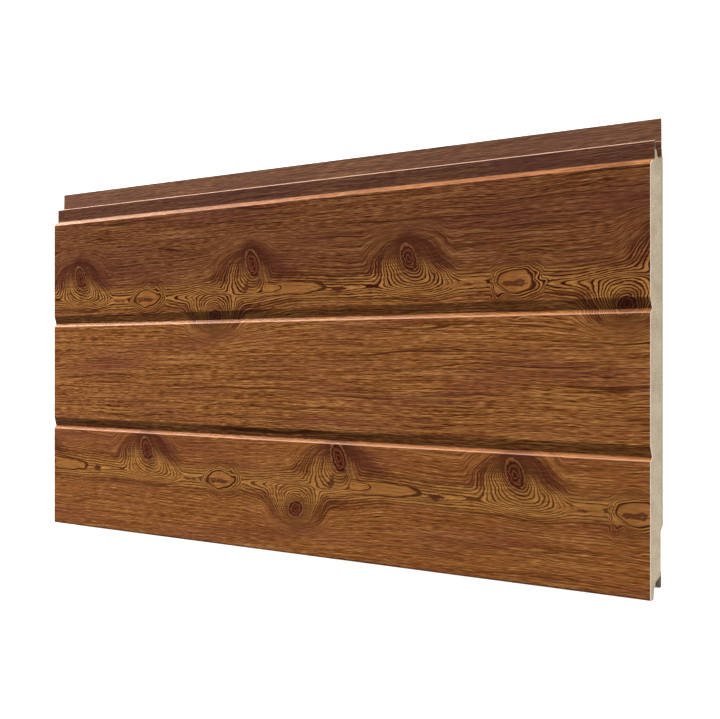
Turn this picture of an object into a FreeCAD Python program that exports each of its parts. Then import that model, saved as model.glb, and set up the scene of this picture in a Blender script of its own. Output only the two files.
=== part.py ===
"""Insulated metal siding panel, lying on its back with the printed face up.

X runs along the boards, Y across them towards the nailing flange, Z from the back to the face.
The origin is the middle of the underside. All sizes are in millimetres.
"""
import FreeCAD, Part
import math
import os

# Whole panel
PANEL_LENGTH = 1000.0
COVER_WIDTH = 383.0          # pitch at which panels are hung above each other
THICKNESS = 16.0
BOARD_COUNT = 3              # boards pressed into one panel
SHEET = 0.5                  # steel face sheet
FOIL = 0.2                   # backing foil

# Boards and the grooves pressed between them
JOINT_GAP = 8.8              # from a board's top edge up to the pitch line of the board above
GROOVE_CHAMFER = 3.9         # height of the steep side, on the lower board
GROOVE_SLOPE = 9.8           # height of the shallow side, under the upper board
GROOVE_DEPTH = 2.5

# Lip, rebate and return leg along the lower edge
LIP_CORE = 3.0               # foam between the two sheets of the lip
LIP_FLARE = 1.0              # how much thicker the lip is at its root
REBATE_HEIGHT = 12.0         # from the lip's tip up to the roof of the rebate
BEAD_DROP = 1.4              # bead that hangs below the roof at the back
BEAD_WIDTH = 3.7
BEAD_RUN = 1.6               # depth over which the roof slopes down to the bead
LEG_HEIGHT = 12.3            # return leg, measured from the roof
LEG_GRIP = 2.8               # length of the leg that is bonded to the foam
VOID_HEIGHT = 3.0            # unfilled space above the roof

# Shallow recess in the back that takes the flange of the panel below
RECESS_HEIGHT = 58.0
RECESS_RAMP = 6.0

# Tongue, slot and nailing flange along the upper edge
CHAMFER_HEIGHT = 3.8         # steep side of the joint with the next panel
CHAMFER_DEPTH = 3.4
LEDGE_RISE = 0.5             # slope of the ledge between the chamfer and the tongue, to shed water
TONGUE_TAPER = 1.1           # how far the tongue's back leans forward up to its shoulder
SHOULDER_RISE = 7.4          # from the foot of the tongue to the shoulder on its back
SHOULDER_SWELL = 1.8         # how far the shoulder stands out behind the hem
HEM_ROOT_RISE = 2.0          # from the shoulder to the root of the hem
HEM_GAP = 0.2                # between the two sheets of the hem
TIP_CLEARANCE = 0.6          # tongue to the roof of the next panel's rebate
LIP_CLEARANCE = 0.5          # tongue to the back of the next panel's lip
SLOT_HEIGHT = 14.6           # slot behind the tongue, from the hem's tip to its floor
FLANGE_REACH = 30.8          # flange above the pitch line
FLANGE_SETBACK = 1.5         # flange to the plane of the back
FLANGE_CLEARANCE = 0.1       # flange to the next panel's return leg
FILLET_RISE = 9.2            # foam that climbs the back of the flange

# Inside radii of the bends in the sheet
BEND = 0.8
EDGE_BEND = 1.0              # along the boards' top edges
SLOPE_BEND = 3.0             # where a board runs into the shallow side of a groove
ROOF_BEND = 2.5
SLOT_BEND = 1.6
LEG_BEND = 1.8

# Levels through the thickness, from the plane of the back
LIP_BACK = THICKNESS - LIP_CORE - 2 * SHEET
LIP_ROOT = LIP_BACK - LIP_FLARE
FLANGE_FRONT = FLANGE_SETBACK + SHEET
LEG_BACK = FLANGE_FRONT + FLANGE_CLEARANCE
RECESS_LEVEL = LEG_BACK + SHEET
BEAD_FRONT = LEG_BACK + BEAD_WIDTH
HEM_FRONT = LIP_ROOT - LIP_CLEARANCE
HEM_BACK = HEM_FRONT - 2 * SHEET - HEM_GAP
CHAMFER_FOOT = THICKNESS - CHAMFER_DEPTH
SHOULDER_BACK = HEM_BACK - SHOULDER_SWELL
SLOT_BACK = SHOULDER_BACK - TONGUE_TAPER

# Heights up the panel, from the tip of the lip
BOARD_PITCH = COVER_WIDTH / BOARD_COUNT
FACE_TOP = COVER_WIDTH - JOINT_GAP
TONGUE_FOOT = FACE_TOP + CHAMFER_HEIGHT
SHOULDER = TONGUE_FOOT + SHOULDER_RISE
HEM_ROOT = SHOULDER + HEM_ROOT_RISE
HEM_TIP = COVER_WIDTH + REBATE_HEIGHT - TIP_CLEARANCE
SLOT_FLOOR = HEM_TIP - SLOT_HEIGHT
FLANGE_TOP = COVER_WIDTH + FLANGE_REACH
BEAD_BOTTOM = REBATE_HEIGHT - BEAD_DROP
LEG_TOP = REBATE_HEIGHT + LEG_HEIGHT
RECESS_TOP = RECESS_HEIGHT + RECESS_RAMP

TINY = 1e-6


def unit(start, end):
    """Direction from one section point to another."""
    length = math.dist(start, end)
    return ((end[0] - start[0]) / length, (end[1] - start[1]) / length)


def along(start, direction, length):
    """Section point at a distance from another in a direction."""
    return (start[0] + direction[0] * length, start[1] + direction[1] * length)


def turn_at(before, corner, after):
    """Signed angle by which a path turns at a corner, positive to its left."""
    into = unit(before, corner)
    out = unit(corner, after)
    return math.atan2(into[0] * out[1] - into[1] * out[0], into[0] * out[0] + into[1] * out[1])


def offset_left(path, distance):
    """Open path moved sideways to its left, with mitred corners."""
    directions = [unit(path[i], path[i + 1]) for i in range(len(path) - 1)]
    moved = []
    for point, into, out in zip(path, directions[:1] + directions, directions + directions[-1:]):
        scale = distance / (1.0 + into[0] * out[0] + into[1] * out[1])
        moved.append(along(point, (-into[1] - out[1], into[0] + out[0]), scale))
    return moved


def tangent_length(before, corner, after, radius):
    """Distance from a corner to either end of the arc that rounds it."""
    return radius * math.tan(abs(turn_at(before, corner, after)) / 2)


def fitted_radius(before, corner, after, radius):
    """Radius at a corner, kept small enough for half of each straight leg beside it."""
    half_leg = min(math.dist(before, corner), math.dist(corner, after)) / 2
    return min(radius, half_leg / tangent_length(before, corner, after, 1.0))


def bend_radii(outer, inner, inside_radii):
    """Radii of the sheet's exposed and inner surfaces at each corner of its path."""
    outer_radii = [0.0] * len(outer)
    inner_radii = [0.0] * len(inner)
    for i in range(1, len(outer) - 1):
        turns_inward = turn_at(*outer[i - 1:i + 2]) > 0
        tight, wide = (inner, outer) if turns_inward else (outer, inner)
        inside = fitted_radius(*tight[i - 1:i + 2], inside_radii[i])
        outside = fitted_radius(*wide[i - 1:i + 2], inside + SHEET)
        inside = max(outside - SHEET, 0.0)
        outer_radii[i], inner_radii[i] = (outside, inside) if turns_inward else (inside, outside)
    return outer_radii, inner_radii


def rounded_corner(before, corner, after, radius):
    """Start, middle and end of the arc that rounds a corner."""
    back = unit(corner, before)
    on = unit(corner, after)
    reach = tangent_length(before, corner, after, radius)
    if reach < TINY:
        return corner, corner, corner
    inward = unit((0.0, 0.0), (back[0] + on[0], back[1] + on[1]))
    depth = math.hypot(radius, reach) - radius
    return along(corner, back, reach), along(corner, inward, depth), along(corner, on, reach)


def section_point(point):
    """Point on the panel's left end, for a height up the panel and a level through it."""
    return FreeCAD.Vector(-PANEL_LENGTH / 2, point[0] - FLANGE_TOP / 2, point[1])


def extrude_outline(corners, radii):
    """Solid over the panel's whole length, from a closed outline with rounded corners."""
    arcs = []
    for i, corner in enumerate(corners):
        arcs.append(rounded_corner(corners[i - 1], corner, corners[(i + 1) % len(corners)], radii[i]))
    edges = []
    for i, (start, middle, end) in enumerate(arcs):
        leg_start = arcs[i - 1][2]
        if math.dist(leg_start, start) > TINY:
            edges.append(Part.LineSegment(section_point(leg_start), section_point(start)).toShape())
        if math.dist(start, end) > TINY:
            edges.append(Part.Arc(*map(section_point, (start, middle, end))).toShape())
    return Part.Face(Part.Wire(edges)).extrude(FreeCAD.Vector(PANEL_LENGTH, 0, 0))


def upper_edge():
    """Exposed side of the flange, slot, tongue and top chamfer, as corners with inside radii."""
    return {
        "flange top": ((FLANGE_TOP, FLANGE_FRONT), 0.0),
        "flange foot": ((SLOT_FLOOR, FLANGE_FRONT), SLOT_BEND),
        "tongue heel": ((SLOT_FLOOR, SLOT_BACK), SLOT_BEND),
        "back shoulder": ((SHOULDER, SHOULDER_BACK), BEND),
        "back hem root": ((HEM_ROOT, HEM_BACK), BEND),
        "back hem tip": ((HEM_TIP, HEM_BACK), HEM_GAP / 2),
        "front hem tip": ((HEM_TIP, HEM_FRONT), HEM_GAP / 2),
        "tongue foot": ((TONGUE_FOOT + LEDGE_RISE, HEM_FRONT), BEND),
        "chamfer foot": ((TONGUE_FOOT, CHAMFER_FOOT), BEND),
        "face top": ((FACE_TOP, THICKNESS), EDGE_BEND),
    }


def board_grooves():
    """Grooves between the boards, from the top one down."""
    corners = {}
    for board in range(BOARD_COUNT - 1, 0, -1):
        board_top = board * BOARD_PITCH - JOINT_GAP
        groove_floor = board_top + GROOVE_CHAMFER
        corners[f"slope {board}"] = ((groove_floor + GROOVE_SLOPE, THICKNESS), SLOPE_BEND)
        corners[f"floor {board}"] = ((groove_floor, THICKNESS - GROOVE_DEPTH), BEND)
        corners[f"board {board}"] = ((board_top, THICKNESS), EDGE_BEND)
    return corners


def lower_edge():
    """Exposed side of the lip, the rebate's roof, the bead and the return leg."""
    return {
        "lip front": ((0.0, THICKNESS), LIP_CORE / 2),
        "lip back": ((0.0, LIP_BACK), LIP_CORE / 2),
        "lip root": ((REBATE_HEIGHT, LIP_ROOT), ROOF_BEND),
        "roof end": ((REBATE_HEIGHT, BEAD_FRONT + BEAD_RUN), BEND),
        "bead front": ((BEAD_BOTTOM, BEAD_FRONT), BEND),
        "leg foot": ((BEAD_BOTTOM, LEG_BACK), LEG_BEND),
        "leg top": ((LEG_TOP, LEG_BACK), 0.0),
    }


sheet_path = {**upper_edge(), **board_grooves(), **lower_edge()}
outer = [point for point, inside_radius in sheet_path.values()]
inner = offset_left(outer, SHEET)
outer_radii, inner_radii = bend_radii(outer, inner, [radius for point, radius in sheet_path.values()])


def inner_run(first, last):
    """Corners of the sheet's inner side with their radii, from one named corner to another."""
    names = list(sheet_path)
    start = names.index(first)
    stop = names.index(last) + 1
    return list(zip(inner[start:stop], inner_radii[start:stop]))


def inner_tangent(name):
    """Length from a named corner of the sheet's inner side to the end of its arc."""
    i = list(sheet_path).index(name)
    return tangent_length(*inner[i - 1:i + 2], inner_radii[i])


def foam_outline():
    """Foam along the inside of the sheet: it ends at the root of the hem and leaves the rebate's roof."""
    tongue_back = inner_run("flange foot", "back hem root")
    body_front = inner_run("tongue foot", "lip root")
    (hem_root, hem_back), _ = tongue_back[-1]
    (_, hem_front), _ = body_front[0]
    tip = hem_root + inner_tangent("back hem root")
    (roof, lip_root), _ = body_front[-1]
    release = lip_root - inner_tangent("lip root")
    hem_mouth = [(tip, hem_back), (tip, hem_front)]
    back = [
        (roof, release),
        (roof + VOID_HEIGHT, release),
        (LEG_TOP - LEG_GRIP, RECESS_LEVEL),
        (RECESS_HEIGHT, RECESS_LEVEL),
        (RECESS_TOP, FOIL),
        (SLOT_FLOOR, FOIL),
        (SLOT_FLOOR + FILLET_RISE, FLANGE_SETBACK),
    ]
    outline = tongue_back + [(p, 0.0) for p in hem_mouth] + body_front + [(p, 0.0) for p in back]
    return [point for point, radius in outline], [radius for point, radius in outline]


def foil_outline():
    """Foil over the back, from the recess up to the foot of the flange."""
    corners = [(RECESS_TOP, 0.0), (SLOT_FLOOR, 0.0), (SLOT_FLOOR, FOIL), (RECESS_TOP, FOIL)]
    return corners, [0.0] * len(corners)


face_sheet = extrude_outline(outer + inner[::-1], outer_radii + inner_radii[::-1])
foam_core = extrude_outline(*foam_outline())
backing_foil = extrude_outline(*foil_outline())

os.makedirs("parts", exist_ok=True)
for name, shape in (("face_sheet", face_sheet), ("foam_core", foam_core), ("backing_foil", backing_foil)):
    shape.exportStep(f"parts/{name}.step")
    print(name, "valid" if shape.isValid() else "invalid", f"{shape.Volume / 1000:.1f} cm3")
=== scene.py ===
"""Looks of a foam-backed steel siding panel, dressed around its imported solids.

Sizes in the classes are in millimetres and meshes are in metres, in the frame of the solids: X along the
boards, Y across them towards the nailing flange, Z out of the printed face.
"""

import logging
from dataclasses import dataclass
from enum import IntEnum
from typing import ClassVar

import bpy
import numpy as np
from mathutils import Matrix, Vector
from mathutils.geometry import delaunay_2d_cdt


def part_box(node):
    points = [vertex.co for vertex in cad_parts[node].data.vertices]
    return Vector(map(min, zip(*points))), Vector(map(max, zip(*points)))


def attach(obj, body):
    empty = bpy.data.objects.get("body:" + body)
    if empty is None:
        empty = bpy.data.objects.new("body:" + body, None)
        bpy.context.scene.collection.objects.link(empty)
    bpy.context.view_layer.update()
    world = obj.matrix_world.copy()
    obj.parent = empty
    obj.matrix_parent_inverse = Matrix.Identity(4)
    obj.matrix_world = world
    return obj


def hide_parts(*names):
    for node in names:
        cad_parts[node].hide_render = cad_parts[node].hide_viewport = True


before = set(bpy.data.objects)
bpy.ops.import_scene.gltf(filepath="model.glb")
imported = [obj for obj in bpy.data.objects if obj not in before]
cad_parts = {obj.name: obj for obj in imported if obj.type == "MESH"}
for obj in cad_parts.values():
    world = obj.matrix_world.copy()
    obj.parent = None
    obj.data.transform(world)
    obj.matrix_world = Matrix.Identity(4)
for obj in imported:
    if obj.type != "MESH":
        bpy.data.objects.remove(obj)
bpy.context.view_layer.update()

LOG = logging.getLogger("siding_panel")
MM = 0.001
# What add() is told for a smooth step between two limits, and for a blend of two colours.
SMOOTH = {"interpolation_type": "SMOOTHSTEP"}
BLEND = {"out": 2, "data_type": "RGBA"}
Socket = bpy.types.NodeSocket
Signal = Socket | float
Colour = Socket | tuple[float, float, float, float]
Inputs = dict[int | str, object] | list[object]


def linear(hex_colour: str) -> tuple[float, float, float, float]:
    """Turn an sRGB hex colour into linear light.

    Args:
        hex_colour: six hex digits, such as "7d4e2e".

    Returns:
        Linear red, green, blue and an alpha of one.
    """
    levels = [int(hex_colour[i:i + 2], 16) / 255 for i in (0, 2, 4)]
    light = [v / 12.92 if v <= 0.04045 else ((v + 0.055) / 1.055) ** 2.4 for v in levels]
    return (*light, 1.0)


def lattice_noise(x: np.ndarray, y: np.ndarray, seed: int) -> np.ndarray:
    """Smooth random heights over a unit lattice.

    Args:
        x: places along the first axis, in lattice steps.
        y: places along the second axis, in lattice steps.
        seed: picks one of many fixed patterns.

    Returns:
        Heights from -1 to 1, of the shape of x and y together.
    """
    size = 256
    table = np.random.default_rng(seed).uniform(-1.0, 1.0, (size, size))
    x_cell, y_cell = np.floor(x).astype(int), np.floor(y).astype(int)
    x_part, y_part = x - x_cell, y - y_cell
    x_ease = x_part * x_part * (3 - 2 * x_part)
    y_ease = y_part * y_part * (3 - 2 * y_part)
    x_low, x_high = x_cell % size, (x_cell + 1) % size
    y_low, y_high = y_cell % size, (y_cell + 1) % size
    near = table[x_low, y_low] * (1 - x_ease) + table[x_high, y_low] * x_ease
    far = table[x_low, y_high] * (1 - x_ease) + table[x_high, y_high] * x_ease
    return near * (1 - y_ease) + far * y_ease


@dataclass(frozen=True)
class Grain:
    """One drawn-out noise: waves along and across the boards in millimetres, seed and octaves."""

    along: float
    across: float
    seed: float
    detail: float = 1.0

    def heights(self, along: np.ndarray, across: np.ndarray) -> np.ndarray:
        """Give random heights from -1 to 1 at places in millimetres."""
        return lattice_noise(along / self.along, across / self.across, int(self.seed))


@dataclass(frozen=True)
class Ink:
    """One ink: its colour, the signal where it begins and where it is full, and how much it then covers."""

    tint: str
    start: float
    end: float
    cover: float = 1.0


class Shader:
    """The node tree of one material."""

    def __init__(self, name: str) -> None:
        """Start an empty tree.

        Args:
            name: the material's name.
        """
        self.material = bpy.data.materials.new(name)
        self.material.use_nodes = True
        self.tree = self.material.node_tree
        self.tree.nodes.clear()

    def add(self, kind: str, inputs: Inputs, out: int | str = 0, **settings: object) -> Socket:
        """Add one node with its settings and links.

        Args:
            kind: node type, without its ShaderNode prefix.
            inputs: sockets to link or values to set, by input name or place.
            out: the output that is handed back.
            **settings: properties of the node.

        Returns:
            The chosen output, or nothing for the material's own output.
        """
        node = self.tree.nodes.new("ShaderNode" + kind)
        for key, value in settings.items():
            setattr(node, key, value)
        for key, value in inputs.items() if isinstance(inputs, dict) else enumerate(inputs):
            if isinstance(value, Socket):
                self.tree.links.new(value, node.inputs[key])
            else:
                node.inputs[key].default_value = value
        return node.outputs[out] if node.outputs else None

    def surface(self, inputs: Inputs) -> bpy.types.Material:
        """Close the tree with a principled surface.

        Args:
            inputs: sockets and values of the principled surface.

        Returns:
            The finished material.
        """
        self.add("OutputMaterial", {"Surface": self.add("BsdfPrincipled", inputs)})
        return self.material

    def spot(self) -> Socket:
        """Give each point's place on the piece, in millimetres."""
        return self.add("VectorMath", {0: self.add("TexCoord", {}, out="Object"), "Scale": 1 / MM},
                        operation="SCALE")

    def grain(self, place: Socket, grain: Grain) -> Socket:
        """Spread drawn-out noise over a surface.

        Args:
            place: coordinates in millimetres.
            grain: the noise.

        Returns:
            A signal of about -1 to 1.
        """
        cell = self.add("VectorMath", [place, (1 / grain.along, 1 / grain.across, 0.0),
                                       (grain.seed, grain.seed * 1.7, 0.0)], operation="MULTIPLY_ADD")
        noise = self.add("TexNoise", {"Vector": cell, "Scale": 1.0, "Detail": grain.detail,
                                      "Roughness": 0.6}, noise_dimensions="2D")
        return self.add("Math", [noise, 4.0, -2.0], operation="MULTIPLY_ADD")

    def apart(self, along: Socket, at: float, repeat: float) -> Socket:
        """Measure along the boards from the nearest repeat of a place.

        Args:
            along: where each point is, in millimetres.
            at: the place in the repeat, in millimetres.
            repeat: length of the repeat, in millimetres.

        Returns:
            Millimetres from that place, from minus to plus half a repeat.
        """
        away = self.add("Math", [along, at], operation="SUBTRACT")
        return self.add("Math", [away, repeat / 2, -repeat / 2], operation="WRAP")

    def lopsided(self, away: Socket, left: float, right: float) -> Socket:
        """Rise by one slope to the left of a place and by another to its right.

        Args:
            away: distance from the place, minus to the left.
            left: slope to the left.
            right: slope to the right.

        Returns:
            The rise, never below zero.
        """
        to_right = self.add("Math", [away, right], operation="MULTIPLY")
        to_left = self.add("Math", [away, -left], operation="MULTIPLY")
        return self.add("Math", [to_right, to_left], operation="MAXIMUM")

    def reach(self, away: Socket, rise: Socket, half_width: float, half_height: float) -> Socket:
        """Measure from the middle of an oval, 1 at its edge.

        Args:
            away: distance along from the middle.
            rise: distance across from the middle.
            half_width: half the oval's length along.
            half_height: half the oval's height across.

        Returns:
            The distance in parts of the oval.
        """
        offset = self.add("VectorMath", [self.add("CombineXYZ", [away, rise]),
                                         (1 / half_width, 1 / half_height, 0.0)], operation="MULTIPLY")
        return self.add("VectorMath", [offset], out="Value", operation="LENGTH")

    def off(self, value: Socket, middle: float) -> Socket:
        """Measure how far a value is from a middle, either way."""
        return self.add("Math", [self.add("Math", [value, middle], operation="SUBTRACT")],
                        operation="ABSOLUTE")

    def coat(self, under: Colour, over: Colour, signal: Socket, start: float, end: float,
             strength: Signal = 1.0) -> Socket:
        """Lay one colour over another where a signal passes from start to end.

        Args:
            under: the colour so far.
            over: the colour laid on it.
            signal: what decides where the coat goes.
            start: the signal at which the cover begins.
            end: the signal at which it is full.
            strength: the full cover, up to 1.

        Returns:
            The colour with the coat on it.
        """
        cover = self.add("MapRange", [signal, start, end, 0.0, strength], **SMOOTH)
        return self.add("Mix", {0: cover, 6: under, 7: over}, **BLEND)

    def ink(self, under: Colour, ink: Ink, signal: Socket, share: Signal = 1.0) -> Socket:
        """Print an ink over a colour.

        Args:
            under: the colour so far.
            ink: the ink.
            signal: what decides where the ink goes.
            share: the part of the ink's cover that goes on.

        Returns:
            The colour with the ink on it.
        """
        cover = self.add("Math", [share, ink.cover], operation="MULTIPLY")
        return self.coat(under, linear(ink.tint), signal, ink.start, ink.end, cover)


@dataclass(frozen=True)
class Vein:
    """One set of long veins: colour, spacing and length in millimetres, seed and strength."""

    tint: str
    spacing: float
    length: float
    seed: float
    strength: float


@dataclass(frozen=True)
class Knot:
    """One printed knot: place in the repeat, half sizes, how its grain opens out, and its flame."""

    along: float
    up: float
    half_width: float
    half_height: float
    tip_level: float
    tip_left: float
    tip_right: float
    skirt_left: float
    skirt_right: float
    fall: float
    lean: float
    flame: float

    @property
    def side(self) -> float:
        """Tell a knot over the band's axis, 1, from one under it, -1."""
        return 1.0 if self.up > 0 else -1.0


@dataclass(frozen=True)
class Eye:
    """The printed eye: place in the repeat, half sizes, and how the grain grows and sways round it."""

    along: float = 153.0
    left: float = 31.0
    right: float = 40.0
    half_height: float = 14.0
    depth: float = 9.75
    clear: float = 0.56
    outline: float = 0.66
    limit: float = 1.2
    steepness: float = 2.5
    outer_slope: float = 20.0
    sway_along: float = 4.0
    sway_across: float = 1.5


@dataclass(frozen=True)
class Smear:
    """One dark smear in the print: its place in the repeat and its half sizes."""

    along: float
    up: float
    half_length: float
    half_height: float


@dataclass(frozen=True)
class Tongue:
    """One tongue of gold along the band: root in the repeat, height, length, half width, outline weight."""

    along: float
    up: float
    length: float
    half_width: float
    weight: float


@dataclass
class Figure:
    """Signals of the printed figure at each point, in millimetres where they are lengths.

    Attributes:
        along: place along the printed repeat.
        across: place across it, from the axis of the band of knots.
        lower: 1 on the lower row.
        place: along and across in one.
        bent: across with the slow bends of the grain.
        swerve: coarse unevenness of outlines.
        wobble: fine unevenness of outlines.
        flow: along and grown in one, which the grain follows.
        fine: fine grain.
        streak: streaky grain.
        grown: growth from the nearest knot or eye.
        near: 1 where the dark grain lines are printed.
        eye_reach: distance from the eye's middle, 1 at its edge.
    """

    along: Socket
    across: Socket
    lower: Socket
    place: Socket
    bent: Socket
    swerve: Socket
    wobble: Socket
    flow: Socket
    fine: Socket
    streak: Socket
    grown: Socket
    near: Socket
    eye_reach: Socket


@dataclass(frozen=True)
class WoodPrintSteel:
    """Coil-coated steel with a printed wood figure, embossed and sealed with a satin clear coat.

    The eye gets warm brown boards with knots, gold between dark grain lines, and short embossed ripples
    that catch the light on their upper sides.
    """

    # Colours that several inks share.
    dark: ClassVar[str] = "4c2204"
    brown: ClassVar[str] = "8b5024"
    line_dark: ClassVar[str] = "401506"
    flame_red: ClassVar[str] = "57291a"
    # Pale of the painted highlights along the hem and at the grooves' edges.
    highlight_pale: ClassVar[str] = "c8a08c"

    # Other colours, and how much is laid of those that go on by a plain share.
    gold: str = "ba8141"
    knot_brown: str = "784429"
    # Painted sheen over the flange.
    flange_sheen: str = "90705f"
    upper_tint: str = "d2ccdf"
    # Share of the painted sheen over the flange.
    sheen_cover: float = 0.3
    unlined_brown: float = 0.35
    gold_cover: float = 0.52
    gold_lower: float = 0.12
    gold_streak: float = 0.25
    gold_fleck: float = 0.3
    tongue_fill: float = 0.85

    # Inks, in the order in which they are laid.
    ground_ink: Ink = Ink(brown, -0.1, 0.6)
    pale_ink: Ink = Ink("c0874e", 0.5, 1.2)
    ruddy_ink: Ink = Ink("743c2d", -0.6, 1.4, 0.55)
    flame_ink: Ink = Ink(flame_red, 1.05, 0.4)
    knot_shade: Ink = Ink(line_dark, 1.9, 1.1, 0.75)
    knot_ring: Ink = Ink(line_dark, 0.0, 0.9)
    knot_rim: Ink = Ink("97683f", 0.07, 0.02)
    knot_pith: Ink = Ink(line_dark, 0.24, 0.1)
    line_ink: Ink = Ink(line_dark, 0.2, 0.5)
    eye_rim: Ink = Ink(line_dark, 0.1, 0.03, 0.85)
    tongue_rim: Ink = Ink(line_dark, 0.27, 0.1)
    smear_ink: Ink = Ink(flame_red, 1.0, 0.6, 0.85)
    # Painted shade on the tongue's front.
    tongue_shade_ink: Ink = Ink("4a3430", 99.2, 100.2, 0.5)
    # Painted highlight along the hem's rounded top.
    hem_highlight_ink: Ink = Ink(highlight_pale, 0.9, 0.4)
    # Painted highlight where the surface faces up the boards, on the chamfers.
    upward_highlight_ink: Ink = Ink("b87a48", 0.3, 0.5, 0.2)
    # Painted shade over each groove's chamfer, and a painted glint along its foot at the board's top edge.
    groove_shade: Ink = Ink(dark, 0.6, 3.4, 0.4)
    groove_glint: Ink = Ink(highlight_pale, 1.4, 0.6, 0.35)

    # Where the figure lies on the panel, in millimetres.
    repeat: float = 621.0
    row_shift: float = 150.0
    row_drop: float = 205.5
    band_up: float = 278.0
    band_start: float = -440.7
    lower_row_top: float = 123.0
    board_pitch: float = 127.67
    board_edge: float = 246.53
    hem_fold: float = 116.3
    flange_foot: float = 116.6
    upper_span: tuple[float, float] = (-6.0, 30.0)
    groove_floor: tuple[float, float] = (4.4, 3.9)
    groove_edge: tuple[float, float] = (-0.3, 0.2)

    # How the grain grows round knots and eye, in millimetres.
    ring: float = 1.8
    ring_growth: float = 60.0
    plain_level: float = 32.05
    slow_sway: float = 2.0
    wave_sway: float = 0.25
    along_sway: float = 2.0
    plain_round: float = 14.0
    axis_round: float = 5.0
    tip_round: float = 4.0
    skirt_round: float = 6.0
    eye_round: float = 3.0
    past_tip: float = 2.0
    past_skirt: float = 1.6
    over_slope: float = 3.0
    pull_height: float = 30.0
    straight_span: tuple[float, float] = (30.0, 75.0)
    near_growth: tuple[float, float] = (54.0, 37.0)
    near_foot: tuple[float, float] = (-46.0, -36.0)
    gold_top: tuple[float, float] = (17.0, 9.0)
    gold_foot: tuple[float, float] = (-12.0, -6.0)
    gold_growth: tuple[float, float] = (34.0, 24.0)

    # How much the grain shows in the ground, the lines and the outlines.
    contrast: float = 0.56
    lower_contrast: float = -0.17
    tone_level: float = 0.57
    streak_share: float = 1.04
    vein_span: tuple[float, float] = (-1.2, 0.8)
    vein_width: tuple[float, float] = (0.9, 0.15)
    vein_drift: float = 2.0
    vein_patch: float = 1.4
    lower_veins: float = -0.35
    lower_lines: float = -0.2
    line_fine: float = 0.1
    line_wobble: float = 0.07
    line_streak: float = 0.15
    line_gaps: float = 0.3
    knot_tilt: float = 0.3
    knot_wobble: float = 0.08
    knot_grain: tuple[float, float] = (-0.6, 0.5)
    knot_rings: float = 17.0
    ring_streak: float = 0.8
    rim_at: float = 0.95
    knot_edge: tuple[float, float] = (1.04, 0.99)
    flame_width: float = 78.0
    flame_height: float = 17.0
    flame_slope: float = 0.42
    flame_rise: float = 1.05
    flame_shift: float = 0.15
    flame_streak: float = 0.3
    eye_fill: tuple[float, float] = (0.7, 0.6)
    tongue_root: tuple[float, float] = (0.0, 14.0)
    tongue_edge: tuple[float, float] = (1.0, 0.9)
    tongue_blunt: float = 4.0
    tongue_sway: float = 0.2
    smear_wobble: float = 0.5

    # The grain itself.
    slow: Grain = Grain(190.0, 70.0, 3.0)
    wave: Grain = Grain(48.0, 10.0, 7.0)
    wobble: Grain = Grain(11.0, 4.0, 13.0)
    swerve: Grain = Grain(24.0, 14.0, 11.0)
    # Printed pores are about 0.2 mm wide, so they are drawn nearly three times as wide to show.
    fine: Grain = Grain(15.0, 0.55, 23.0)
    streak: Grain = Grain(150.0, 1.0, 17.0, 2.0)
    cloud: Grain = Grain(220.0, 30.0, 29.0)
    vein_breaks: Grain = Grain(160.0, 12.0, 37.0)
    line_breaks: Grain = Grain(55.0, 5.0, 53.0)
    gold_grain: Grain = Grain(40.0, 1.2, 59.0)
    ripple: Grain = Grain(22.0, 2.8, 41.0)
    ripple_depth: float = 0.06

    # What is drawn in each repeat.
    eye: Eye = Eye()
    knots: tuple[Knot, ...] = (
        Knot(along=4.0, up=28.0, half_width=12.5, half_height=15.0, tip_level=20.0, tip_left=0.14,
             tip_right=0.20, skirt_left=0.40, skirt_right=0.50, fall=0.70, lean=0.6, flame=0.8),
        Knot(along=365.0, up=32.0, half_width=13.0, half_height=17.0, tip_level=18.0, tip_left=0.10,
             tip_right=0.05, skirt_left=0.34, skirt_right=0.70, fall=0.66, lean=0.1, flame=0.8),
        Knot(along=292.0, up=-24.0, half_width=14.0, half_height=9.0, tip_level=18.0, tip_left=0.13,
             tip_right=0.10, skirt_left=0.45, skirt_right=0.45, fall=0.80, lean=0.0, flame=0.3),
    )
    smears: tuple[Smear, ...] = (
        Smear(152.0, -1.5, 17.0, 3.4),
        Smear(516.0, 1.0, 9.0, 4.0),
        Smear(352.0, 7.0, 6.0, 7.0),
        Smear(94.0, -1.0, 13.0, 1.6),
    )
    tongues: tuple[Tongue, ...] = (
        Tongue(381.0, 4.0, 110.0, 7.5, 0.85),
        Tongue(378.0, 5.0, 38.0, 4.5, 0.85),
        Tongue(60.0, -0.5, 56.0, 3.0, 0.0),
    )
    veins: tuple[Vein, ...] = (
        Vein("b27e3a", 10.0, 110.0, 43.0, 0.6),
        Vein(line_dark, 5.5, 70.0, 47.0, 0.55),
        Vein(line_dark, 14.0, 220.0, 31.0, 0.8),
    )

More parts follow.
